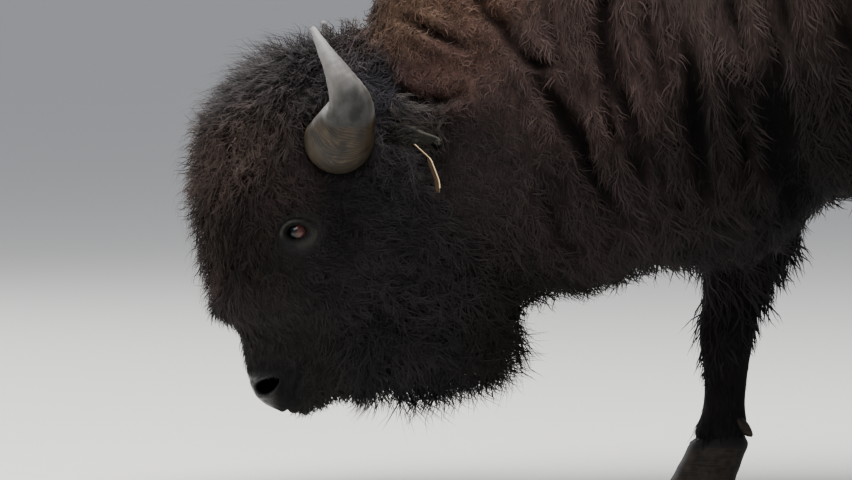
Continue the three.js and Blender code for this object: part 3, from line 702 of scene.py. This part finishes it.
def layered(tree, colour, *layers):  # lays a colour over those before it, as far as its amounts say
    for over, *parts in layers:
        sockets = {0: amount(tree, *parts), 6: colour, 7: over}
        colour = node(tree, "Mix", sockets, out=2, data_type="RGBA")
    return colour


def grained(tree, source, stretch, detail=3.0):  # noise drawn out one way, by its grains in a metre
    spread = node(tree, "Mapping", dict(Vector=source, Scale=stretch))
    return node(tree, "TexNoise", dict(Vector=spread, Scale=1.0, Detail=detail))


def hairColour(tree, *parts):
    hue = node(tree, "Attribute", out="Color", attribute_name="hue")
    return node(tree, "VectorMath", {0: hue, "Scale": amount(tree, *parts)}, operation="SCALE")


def material(name, colour="808080", rough=.6, **sockets):
    made = bpy.data.materials.new(name)
    made.use_nodes = True
    shader = made.node_tree.nodes["Principled BSDF"]
    shader.inputs["Base Color"].default_value = (*srgb(colour), 1)
    shader.inputs["Roughness"].default_value = rough
    for key, value in sockets.items():
        shader.inputs[key.replace("_", " ")].default_value = value
    return made, made.node_tree


def finish(tree, colour, relief=None, **sources):  # relief: height, strength, depth in metres
    shader = tree.nodes["Principled BSDF"]
    sources["Base_Color"] = colour
    if relief:
        sources["Normal"] = node(tree, "Bump", dict(zip(("Height", "Strength", "Distance"), relief)))
    for key, source in sources.items():
        tree.links.new(source, shader.inputs[key.replace("_", " ")])


def makeCoat(name, rough, gloss):  # each tuft painted darker towards its root as shade under the coat, lighter at its tip, and finely streaked along
    made, tree = material(name, rough=rough, Specular_IOR_Level=gloss)
    strand = node(tree, "UVMap", uv_map="strand")
    fine = grained(tree, strand, (5, 1.2, 1), detail=2.0)
    parts = (("along", 0, 1, .75, 1.15), ("tone", 0, 1, .46, 1.74), (fine, .3, .7, .72, 1.28))
    finish(tree, hairColour(tree, *parts), relief=(fine, .4, .001))
    return made


def makeSkinMaterial(name):  # matt short hair, and dark pebbled skin with a damp shine on the nose
    made, tree = material(name, rough=.6, Specular_IOR_Level=.2)
    at = node(tree, "TexCoord", out="Object")
    level = grained(tree, at, (55, 300, 330))  # hair in streaks of 3 by 18 mm, lying level or upright
    upright = grained(tree, at, (330, 300, 50))
    streak = node(tree, "Mix", {0: amount(tree, "upright"), 2: level, 3: upright})
    patchy = node(tree, "TexNoise", dict(Vector=at, Scale=14.0, Detail=4.0))  # patches of 70 mm
    pebbles = node(tree, "TexVoronoi", dict(Vector=at, Scale=330.0), out="Distance")  # 3 mm across
    creases = node(tree, "TexNoise", dict(Vector=at, Scale=160.0, Detail=4.0))  # 6 mm apart
    leather = layered(tree, "090809", ("151312", (creases, .35, .65, 0, 1)))
    hair = hairColour(tree, (streak, .3, .7, .55, 1.5), (patchy, .3, .7, .8, 1.2))
    # rim paints light on the lids and along the ear's top edge; cave paints the nostrils' inside near black
    # as shade
    colour = layered(tree, hair, (leather, "bare"), ("3c3b35", "rimLight"), ("060505", "wet"), ("050405", "caveShade"))
    height = node(tree, "Mix", {0: amount(tree, "bare"), 2: streak, 3: pebbles})
    finish(tree, colour, relief=(height, .6, .0022), Roughness=amount(tree, ("moist", 0, 1, .95, .34)),
           Specular_IOR_Level=amount(tree, ("bare", 0, 1, .10, .25), ("caveShade", 0, .6, 1, 0)))
    return made


coatMaterial = makeCoat("long hair", .72, .16)  # a dull sheen on the locks
flatMaterial = makeCoat("short hair", .95, .04)  # matt like the skin that it lies on
skin.data.materials.append(makeSkinMaterial("short hair and bare skin"))


# ---- lofted pieces ----
def loftMesh(name, rings, attributes=()):
    # rings: stations x around x 3, closed at both ends; attributes: name -> stations x around
    rings = np.asarray(rings, float)
    stations, sides = rings.shape[:2]
    verts = np.concatenate([rings.reshape(-1, 3), rings[:1].mean(1), rings[-1:].mean(1)])
    quads, tris = [], []
    for k in range(stations - 1):
        for i in range(sides):
            j = (i + 1) % sides
            quads.append([k * sides + i, k * sides + j, (k + 1) * sides + j, (k + 1) * sides + i])
    first, last = stations * sides, stations * sides + 1
    for i in range(sides):
        j = (i + 1) % sides
        tris += [[first, j, i], [last, (stations - 1) * sides + i, (stations - 1) * sides + j]]
    loops = np.concatenate([np.ravel(quads), np.ravel(tris)])
    mesh = meshOf(name, verts, loops, [4] * len(quads) + [3] * len(tris))
    bm = bmesh.new()
    bm.from_mesh(mesh)
    bmesh.ops.recalc_face_normals(bm, faces=bm.faces)
    bm.to_mesh(mesh)
    bm.free()
    for key, values in dict(attributes).items():
        values = np.asarray(values, float)
        ends = np.stack([values[0].mean(0), values[-1].mean(0)])
        addPoint(mesh, key, np.concatenate([values.reshape(-1, *values.shape[2:]), ends]))
    return mesh


def joined(name, meshes):
    bm = bmesh.new()
    for mesh in meshes:
        bm.from_mesh(mesh)
        bpy.data.meshes.remove(mesh)
    mesh = bpy.data.meshes.new(name)
    bm.to_mesh(mesh)
    bm.free()
    shadeSmooth(mesh)
    return newObject(name, mesh)


# ---- horns ----
hornLook = dict(stations=170, sides=56, swell=.0003, rings=100, edge=.475, lean=.009,
                radius=(.059, .060, .0570, .0400, .0222, .0112, .0046),
                spine=((-.842, .100, .646), (-.842, .190, .641), (-.836, .258, .652), (-.820, .306, .702),
                       (-.842, .320, .758), (-.868, .306, .804), (-.886, .286, .838)))


def table(values, t):
    return curve([(v, 0) for v in values], 200)[(np.clip(t, 0, 1) * 199).astype(int), 0]


def makeHorn(side):
    count, around = hornLook["stations"], hornLook["sides"]
    spine = curve([(x + shiftX, side * y, z) for x, y, z in hornLook["spine"]], count)
    t = np.linspace(0, 1, count)
    spine += (t ** 4 * hornLook["lean"])[:, None] * [1, 0, .6] * (side > 0)  # only the right horn leans back
    tangent = unit(np.gradient(spine, axis=0))
    ref = np.array([-1.0, 0, 0])
    a = unit(ref - (tangent @ ref)[:, None] * tangent)
    b = np.cross(tangent, a)
    turn = np.linspace(0, 2 * np.pi, around, endpoint=False)
    radial = np.cos(turn)[None, :, None] * a[:, None] + np.sin(turn)[None, :, None] * b[:, None]
    at = np.repeat(spine[:, None], around, 1) + radial * .03

    def mottle(size, seed, squeeze=1):
        return noise((at * squeeze).reshape(-1, 3), size, side + seed).reshape(count, around)

    flow, chips, streak = mottle(.045, 3), mottle(.012, 5), mottle(.010, 9, [1, 1, .25])
    edge = hornLook["edge"] - .035 * smooth(.1, .9, -radial[..., 0]) + flow * .012
    t = t[:, None]
    past = t - edge  # how far beyond the ringed brown base
    swell = np.sin(t * 95 + flow * 2) * .6 + np.sin(t * 41 + 1.3) * .4
    radius = table(hornLook["radius"], t[:, 0])[:, None]
    radius = radius + smooth(.02, -.02, past) * (hornLook["swell"] * swell + .0010) + .0005 * chips
    radius = radius + .0009 * flow * smooth(1, .8, t)
    shoulder = np.clip(radial @ unit(np.array([-.12, 0, .99])), 0, 1) ** 3
    radius = radius * (1 - .32 * shoulder * smooth(.56, .42, t))
    cap = np.sqrt(np.clip(1 - np.clip((t - .972) / .028, 0, 1) ** 2, .02, 1))  # rounds the tip off
    rings = spine[:, None] + radial * (radius * cap)[..., None]
    outward = radial @ unit(np.array([.02, side, -.55]))
    smudge = smooth(-.022, .006, past) * hump(past, .030, .100) * hump(outward, 1, .62) * (1.25 + .35 * flow)
    behind = smooth(-.5, .6, radial @ unit(np.array([.6, 0, -.8])))
    marks = dict(pale=smooth(-.012, .012, past), smudge=np.clip(smudge, 0, 1),
                 grey=hump(past, .05, .11) * smooth(-.35, .35, streak + .05),
                 worn=smooth(.66, .90, t) * np.ones((1, around)),
                 rings=t * hornLook["rings"] + flow * 3.2 + chips * .9,
                 shade=behind * smooth(.46, .30, t) * .95)
    return loftMesh("horn", rings, marks)


def makeHornMaterial():
    made, tree = material("horn sheath", rough=.5, Specular_IOR_Level=.25)  # worn keratin, half dull
    at = node(tree, "TexCoord", out="Object")
    stain = node(tree, "TexNoise", dict(Vector=at, Scale=42.0, Detail=6.0))  # stains of 24 mm
    scratch = grained(tree, at, (400, 400, 60))  # upright scratches of 2.5 by 17 mm
    phase = node(tree, "Math", {0: amount(tree, "rings")}, operation="FRACT")
    off = node(tree, "Math", {0: phase, 1: .5}, operation="SUBTRACT")
    middle = node(tree, "Math", {0: off}, operation="ABSOLUTE")
    arc = amount(tree, (middle, 0, .42, 1, 0))  # a fine pale line on each growth ring
    base = layered(tree, "16110b", ("2b2318", (stain, .35, .68, 0, 1)), ("0f0c09", "shade"),
                   ("594b34", arc, (stain, .38, .66, .06, .55)))
    pale = layered(tree, "565452", ("6e6b69", (stain, .35, .65, 0, 1)),
                   ("464440", (scratch, .5, .75, 0, .35)),
                   ("807d7b", "worn", (stain, .25, .6, .45, 1)),
                   ("3d3a31", "grey", (stain, .35, .6, .15, .8)))
    colour = layered(tree, base, (pale, "pale"), ("111312", "smudge", (stain, .30, .66, .60, 1.0)))
    ridge = node(tree, "Mix", {0: amount(tree, "pale"), 2: arc, 3: scratch})
    finish(tree, colour, relief=(ridge, .35, .0006))
    return made


hornMaterial = makeHornMaterial()
for side, sideName in bothSides:
    fit(newObject(f"{sideName}_horn_sheath", makeHorn(side)), "horn", hornMaterial, f"{sideName}_horn")
say("horns")


# ---- eyes ----
eyeLook = dict(radius=.0198, iris=.0116, cornea=.0016, gaze=.0095, pupil=(.0062, .0040))


def makeEye(side):
    centre, ahead, up, out = eyeAxes(side)
    axis = unit(out + ahead * (eyeLook["gaze"] / eyeLook["radius"]) - up * .02)
    right = unit(ahead - (ahead @ axis) * axis)
    high = np.cross(axis, right) * -side
    angle = np.concatenate([np.linspace(.02, .75, 44), np.linspace(.78, np.pi - .03, 34)])
    turn = np.linspace(0, 2 * np.pi, 96, endpoint=False)
    reach = np.sin(angle) * eyeLook["radius"]
    bulge = eyeLook["cornea"] * smooth(eyeLook["iris"] * 1.08, eyeLook["iris"] * .2, reach) * (angle < 1.5)
    radius = eyeLook["radius"] + bulge
    rings = centre + radius[:, None, None] * (
        np.cos(angle)[:, None, None] * axis + np.sin(angle)[:, None, None] * (
            np.cos(turn)[None, :, None] * right + np.sin(turn)[None, :, None] * high))
    u, v = reach[:, None] * np.cos(turn), reach[:, None] * np.sin(turn)
    front = angle[:, None] < 1.5
    wide, tall = eyeLook["pupil"]
    pupil = smooth(1.05, .9, np.sqrt((u / wide) ** 2 + (v / tall) ** 2)) * front
    iris = smooth(eyeLook["iris"] * 1.03, eyeLook["iris"] * .94, np.hypot(u, v)) * front
    limbus = hump(np.hypot(u, v), eyeLook["iris"], .0011) * front
    r = rings - centre
    behind, low = -(r @ ahead), -(r @ up)
    corner = smooth(-.0012, .0052, behind + .0012 * np.sin(low * 500))
    # the pink fades into the dark ball towards the bottom: painted shade
    flesh = corner * smooth(.0115, .0060, low) * (1 - pupil)
    return loftMesh("eye", rings, dict(pupil=pupil, iris=iris, limbus=limbus, flesh=flesh))


def makeEyeMaterial():  # a wet ball: sharp small highlights over a dark iris
    made, tree = material("wet eye", rough=.16, Specular_IOR_Level=.24, Coat_Weight=.14, Coat_Roughness=.05)
    at = node(tree, "TexCoord", out="Object")
    veins = node(tree, "TexNoise", dict(Vector=at, Scale=260.0, Detail=5.0))  # 4 mm apart
    white = layered(tree, "2c211e", ("1d1412", (veins, .4, .65, 0, 1)))
    iris = layered(tree, "16201f", ("0b1110", (veins, .35, .65, 0, 1)))
    flesh = layered(tree, "4c2f2a", ("391f1b", (veins, .35, .65, 0, 1)))
    rings = ((iris, "iris"), ("070505", "limbus"), (flesh, "flesh"), ("020203", "pupil"))
    finish(tree, layered(tree, white, *rings))
    return made


eyeMaterial = makeEyeMaterial()
for side, sideName in bothSides:
    fit(newObject(f"{sideName}_eyeball", makeEye(side)), "eye", eyeMaterial, f"{sideName}_eye")
say("eyes")


# ---- hooves ----
hoofLook = dict(length=.124, width=.050, reach=.034, toe=.006, cleft=.007, hind=.94, top=.077, groove=.0006,
                heights=(0, .0015, .004, .012, .024, .038, .052, .064, .072, .077, .082, .092, .105))
dewLook = dict(behind=.034, apart=.020, top=.125, drop=.030,
               radii=((0, .011), (.25, .013), (.6, .0125), (.85, .008), (1, .003)))


def clawRings(coronetX, footY, inner, size):
    turn = np.linspace(0, 2 * np.pi, 64, endpoint=False)
    c, s = np.cos(turn), np.sin(turn)
    rings, tone = [], []
    for z in hoofLook["heights"]:
        t = z / hoofLook["top"]
        taper = 1 - .13 * min(t, 1) - .30 * smooth(1.03, 1.36, t)
        edge = {0: .965, .0015: .988}.get(z, 1)  # the sole's edge is rounded
        half = hoofLook["length"] * size * taper / 2
        middle = coronetX - hoofLook["reach"] * size * (1 - min(t, 1)) + hoofLook["toe"]
        middle = middle + .008 * smooth(1, 1.3, t)
        bulge = 1 + .035 * hump(t, 1.0, .09)
        along = np.where(c < 0, -np.abs(c) ** 1.25, c * .92) * bulge * edge
        groove = hoofLook["groove"] * np.sin(z * 720 + .8 * np.sin(turn * 2))
        out = .11 + np.where(s > 0, .84, .1) * s * edge
        x = middle + (half + groove) * along
        y = footY + inner * (hoofLook["cleft"] / 2 + hoofLook["width"] * size * taper * out)
        rings.append(np.stack([x, y, np.full_like(x, z)], 1))
        tone.append(np.full(64, smooth(.070, .080, z)))
    return np.array(rings), np.array(tone)


def dewClaw(x, y, size):
    turn = np.linspace(0, 2 * np.pi, 24, endpoint=False)
    oval = np.stack([.5 * np.cos(turn), .85 * np.sin(turn), .7 * np.cos(turn)], 1)
    rings = []
    for t, r in dewLook["radii"]:
        middle = np.array([x + dewLook["drop"] * t * size, y, dewLook["top"] - dewLook["drop"] * t * size])
        rings.append(middle + r * size * oval)
    return np.array(rings), np.zeros((len(rings), 24))


def makeHoof(sign, sideName, end, size):
    inner, outer = (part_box(f"{sideName}_{end}_{part}_claw") for part in ("inner", "outer"))
    footY = sign * (min(abs(corner.y) for corner in outer) + max(abs(corner.y) for corner in inner)) / 2
    coronetX = inner[0].x + hoofLook["length"] * size / 2 + hoofLook["reach"] * size - hoofLook["toe"]
    made = []
    for toward in (1, -1):
        dew = dewClaw(coronetX + dewLook["behind"], footY + toward * dewLook["apart"], size)
        for rings, tone in (clawRings(coronetX, footY, toward, size), dew):
            made.append(loftMesh("claw", rings, dict(coronet=tone)))
    return joined(f"{sideName}_{end}_hoof", made)


def makeHoofMaterial():
    made, tree = material("hoof horn", rough=.62, Specular_IOR_Level=.2)  # dark dry horn with level ridges
    at = node(tree, "TexCoord", out="Object")
    ridge = grained(tree, at, (30, 30, 330))  # level ridges 3 mm high
    grime = node(tree, "TexNoise", dict(Vector=at, Scale=60.0, Detail=5.0))  # spots of 17 mm
    colour = layered(tree, "1a1612", ("29231d", (ridge, .35, .65, 0, 1)),
                     ("42392f", (grime, .45, .7, 0, .5)), ("141112", "coronet"))
    finish(tree, colour, relief=(ridge, .5, .001))
    return made


hoofMaterial = makeHoofMaterial()
for side, sideName in bothSides:
    for end, size in (("fore", 1), ("hind", hoofLook["hind"])):
        claws = [f"{sideName}_{end}_{part}_claw" for part in ("inner", "outer")]
        fit(makeHoof(side, sideName, end, size), "hoof", hoofMaterial, *claws)
say("hooves")


# ---- ears ----
earLook = dict(root=(-.752, .158, .668), tip=(-.664, .262, .641), width=.060, cup=.024, wall=.0055,
               hue="0f0e0a")


def makeEar(side):
    root, tip = (np.array(onSide(earLook[end], side)) for end in ("root", "tip"))
    axis = unit(tip - root)
    across = unit(np.array([-axis[1], axis[0], 0]))
    up = np.cross(axis, across)
    up *= np.sign(up[2])
    turn = np.linspace(0, 2 * np.pi, 40, endpoint=False)
    brim = smooth(.26, .10, np.abs(np.cos(turn))) * (np.sin(turn) > 0)
    rings, edge = [], []
    for t in np.linspace(0, 1, 22):
        spread = max(.05, (1 - t ** 5) ** .5 * (.72 + .28 * math.sin(math.pi * min(1, t * 1.2))))
        a = earLook["width"] / 2 * spread * np.cos(turn)
        cup = earLook["cup"] * max(.1, 1 - t ** 6) ** .5
        wall = earLook["wall"] * (1 - .35 * t) * min(1, (1 - t) * 12 + .25)
        rise = wall * np.sin(turn) - cup * np.cos(turn) ** 2
        middle = root + axis * (t * np.linalg.norm(tip - root))
        rings.append(middle + a[:, None] * across + rise[:, None] * up)
        # painted rim light: the ear's top ridge and its tip are marked lighter
        edge.append(brim * smooth(.1, .3, t) + smooth(.95, .985, t))
    mesh = loftMesh("ear", rings, dict(rimLight=np.clip(edge, 0, 1)))
    addPoint(mesh, "hue", np.tile(srgb(earLook["hue"]), (len(mesh.vertices), 1)))
    for key in ("bare", "moist", "caveShade", "upright", "wet"):
        addPoint(mesh, key, np.zeros(len(mesh.vertices)))
    return mesh


earMaterial = makeSkinMaterial("ear skin")
ears = {}
for side, sideName in bothSides:
    ear = newObject(f"{sideName}_ear_skin", makeEar(side))
    ears[sideName] = fit(ear, "ear", earMaterial, f"{sideName}_ear")
    unwrap(ear)
say("ears")


# ---- ear tag ----
tagLook = dict(bevel=.0006, slim=.8, turn=-.125, bow=((0, .25, .725, 1), (0, .0088, .0136, 0)), cuts=14)


def makeTag():
    mesh = nodes["ear_tag"].data.copy()
    bm = bmesh.new()
    bm.from_mesh(mesh)
    bmesh.ops.remove_doubles(bm, verts=bm.verts, dist=1e-5)
    bmesh.ops.dissolve_limit(bm, angle_limit=.02, verts=bm.verts, edges=bm.edges)
    bmesh.ops.bevel(bm, geom=list(bm.edges), offset=tagLook["bevel"], segments=2, affect="EDGES",
                    profile=.6)
    low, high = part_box("ear_tag")
    middle = (low + high) / 2
    for k in range(1, tagLook["cuts"]):
        z = low.z + (high.z - low.z) * k / tagLook["cuts"]
        geom = list(bm.verts) + list(bm.edges) + list(bm.faces)
        bmesh.ops.bisect_plane(bm, geom=geom, plane_co=(0, 0, z), plane_no=(0, 0, 1))
    for v in bm.verts:
        s = (v.co.z - low.z) / (high.z - low.z)
        dx, dy = v.co.x - middle.x, v.co.y - middle.y
        bow = float(np.interp(s, *tagLook["bow"]))
        v.co.x = middle.x + dx * tagLook["slim"] + dy * tagLook["turn"] + bow
    bm.to_mesh(mesh)
    bm.free()
    mesh.materials.clear()
    # painted light: the plate's side and top edges are marked paler, as if lit
    rimLight = mesh.attributes.new("rimLight", "FLOAT", "FACE")
    rimLight.data.foreach_set("value", [float(abs(p.normal.y) > .7 or p.normal.z > .6) for p in mesh.polygons])
    return newObject("tag_plate", mesh)


def makeTagMaterial():
    made, tree = material("tag plastic", "c39a62", rough=.45)  # moulded, browned by dirt, with painted light paling its side and top edges
    at = node(tree, "TexCoord", out="Object")
    dust = node(tree, "TexNoise", dict(Vector=at, Scale=120.0, Detail=5.0))  # spots of 8 mm
    finish(tree, layered(tree, "4c3a26", ("3a2b1b", (dust, .4, .7, 0, .8)), ("c8ad84", "rimLight")))
    return made


fit(makeTag(), "tag", makeTagMaterial(), "ear_tag")
say("ear tag")


# ---- the coat ----
# hair lengths of the zones, x and z where they meet, how far the bare lids and the ear's fuzz reach, how
# ragged the lids' edge is, and how much coarser the tufts of the right side are
zones = dict(small=.021, long=.038, halo=.045, face=-.90, chest=-.36, crestX=.12, crestZ=.94, eye=.042,
             ear=.060, ragged=.008, coarse=1.45)
tuftTotals = []
body = Surface(skin)
spot = mirrored(local(body.centre))
x, y, z = spot.T
wool = guided(guideWeights(body.centre), "long")
onHead = (x < -.70 + (.62 - z) * .47) | ((z < .31) & (x < -.49))
ragged = noise(body.centre, .02, 8) * zones["ragged"]
eyeOff = np.linalg.norm((spot - np.array(eyeSpot) - [.003, 0, .010]) * [1, .5, 1.15], axis=1)
earOff = np.linalg.norm((spot - np.array(earSpot)) * [1, 1, 1.5], axis=1)
bareEye = eyeOff + ragged < zones["eye"]
bareNose = ((z + ragged < .218) & (x < -.972)) | (z < .168) & (x < -.92)


def growSide(side, sideName, fine):  # fine multiplies the spacing and the width of the finest tufts
    half = (body.centre[:, 1] < 0) == (side < 0)
    face = half & onHead & ~bareEye & ~bareNose
    small = face & (wool <= zones["small"])
    front = face & ~small & (x < zones["face"])
    back = face & ~small & ~front
    halo = front & (wool > zones["halo"])
    trunk = half & ~onHead
    long = trunk & (wool > zones["long"])
    fineZone = long & (z < zones["crestZ"]) & (x < zones["crestX"])
    neck, breast = fineZone & (x < zones["chest"]), fineZone & (x >= zones["chest"])
    grow(body, f"{sideName}_bonnet", front, spacing=.0044 * fine, lock=.0115, width=.0024 * fine,
         waves=1.6, swing=1.0, stray=.8, droop=0, close=.65, fleck=.7, slot="bonnet")
    grow(body, f"{sideName}_bonnet_halo", halo, spacing=.0085 * fine, lock=.022, width=.0013 * fine,
         waves=1.4, swing=1.1, long=1.3, lift=1.25, droop=0, close=.15, slot="bonnet")
    grow(body, f"{sideName}_cheek", back, spacing=.0045 * fine, lock=.013, width=.0022 * fine, rings=4,
         waves=1.5, swing=1.2, stray=1.1, droop=0, close=.6, lift=1.25, fleck=1.1, patch=.6, slot="bonnet")
    grow(body, f"{sideName}_neck", neck, spacing=.0058 * fine, lock=.014, width=.0024 * fine, long=.68,
         waves=1.6, swing=1.2, stray=.9, close=.55, fleck=.55, slot="cape")
    grow(body, f"{sideName}_breast", breast, spacing=.0068 * fine, lock=.022, width=.0027 * fine, long=.74,
         soft=.85, waves=1.4, stray=.7, close=.5, fleck=.8, slot="cape")
    grow(body, f"{sideName}_crest", long & ~fineZone, spacing=.0130 + .0012 * fine, lock=.030,
         width=.0065, slot="cape")
    grow(body, f"{sideName}_short", trunk & ~long, spacing=.0124, lock=.045, width=.0055, rings=3,
         waves=.5, lift=.45, close=.2, stray=.25, tint=1.25, patch=.2, mottle=.45, soft=.95, flat=True)
    grow(body, f"{sideName}_muzzle", small, spacing=.0030 * fine, lock=.012, width=.0020 * fine, rings=4,
         waves=1.0, close=.45, stray=.9, fleck=1.0, patch=.6, slot="muzzle")
    grow(body, f"{sideName}_ear_fuzz", half & (earOff < zones["ear"]), spacing=.0048, lock=.014,
         width=.0017, long=1.2, lift=1.7, curl=1.4, close=.3, colour="3d3835", slot="bonnet")
    leaf = Surface(ears[sideName])
    ends = [np.array(onSide(earLook[end], side)) for end in ("root", "tip")]
    edge = np.empty(len(leaf.co), np.float32)
    ears[sideName].data.attributes["rimLight"].data.foreach_get("value", edge)
    onRim = edge[leaf.tri].mean(1) > .35
    # painted rim light: the hairs along the ear's top edge and tip are paler
    for part, mask, hue, long in (("hair", ~onRim, "1a1815", .8), ("rimLight", onRim, "47433c", .6)):
        grow(leaf, f"{sideName}_ear_{part}", mask, spacing=.0030 * fine, lock=.010, width=.0016 * fine,
             rings=4, long=long, fade=(*ends, .28), lift=1.2, waves=.7, close=.3, colour=hue, slot="ear")


growSide(-1, "left", 1)
growSide(1, "right", zones["coarse"])
say(f"coat {sum(tuftTotals)} tris")


# ---- floor, light, camera ----
stageLook = dict(floor=(.62, .61, .58, 1), sky=(.86, .9, 1, 1), skyPower=.55, aim=(-.3, 0, .8))
lamps = (("key", (-3, -4, 6.5), 4, 520, (1, .98, .95)),  # place, size, power, colour
         ("top", (-.6, -.6, 6.5), 5, 900, (1, .99, .98)),
         ("rimLight", (-5, 5, 3.5), 3, 260, (1, 1, 1)))
view = dict(aim=(-.689, 0, .456), distance=11.0, rise=2.5, across=1.517, sensor=36)


def layFloor():
    mesh = bpy.data.meshes.new("floor")
    bm = bmesh.new()
    bmesh.ops.create_grid(bm, x_segments=1, y_segments=1, size=300)
    bm.to_mesh(mesh)
    bm.free()
    mesh.materials.append(material("pale floor", rough=.9, Base_Color=stageLook["floor"])[0])
    newObject("floor", mesh)


def lightStudio():
    world = bpy.data.worlds.new("studio")
    world.use_nodes = True
    sky = world.node_tree.nodes["Background"]
    sky.inputs[0].default_value = stageLook["sky"]
    sky.inputs[1].default_value = stageLook["skyPower"]
    bpy.context.scene.world = world
    for name, spot, size, power, tint in lamps:
        lamp = bpy.data.lights.new(name, "AREA")
        lamp.size, lamp.energy, lamp.color = size, power, tint
        obj = newObject(name, lamp)
        obj.location = spot
        aim = Vector(stageLook["aim"]) - Vector(spot)
        obj.rotation_euler = aim.to_track_quat("-Z", "Y").to_euler()


def setCamera():
    cam = bpy.data.cameras.new("camera")
    cam.sensor_width = view["sensor"]
    cam.lens = view["sensor"] * view["distance"] / view["across"]
    cam.clip_end = 400
    camera = newObject("camera", cam)
    rise = math.radians(view["rise"])
    back = Vector((0, -math.cos(rise), math.sin(rise)))
    camera.location = place(*view["aim"]) + back * view["distance"]
    camera.rotation_euler = (-back).to_track_quat("-Z", "Y").to_euler()
    bpy.context.scene.camera = camera


layFloor()
lightStudio()
setCamera()
say("done")
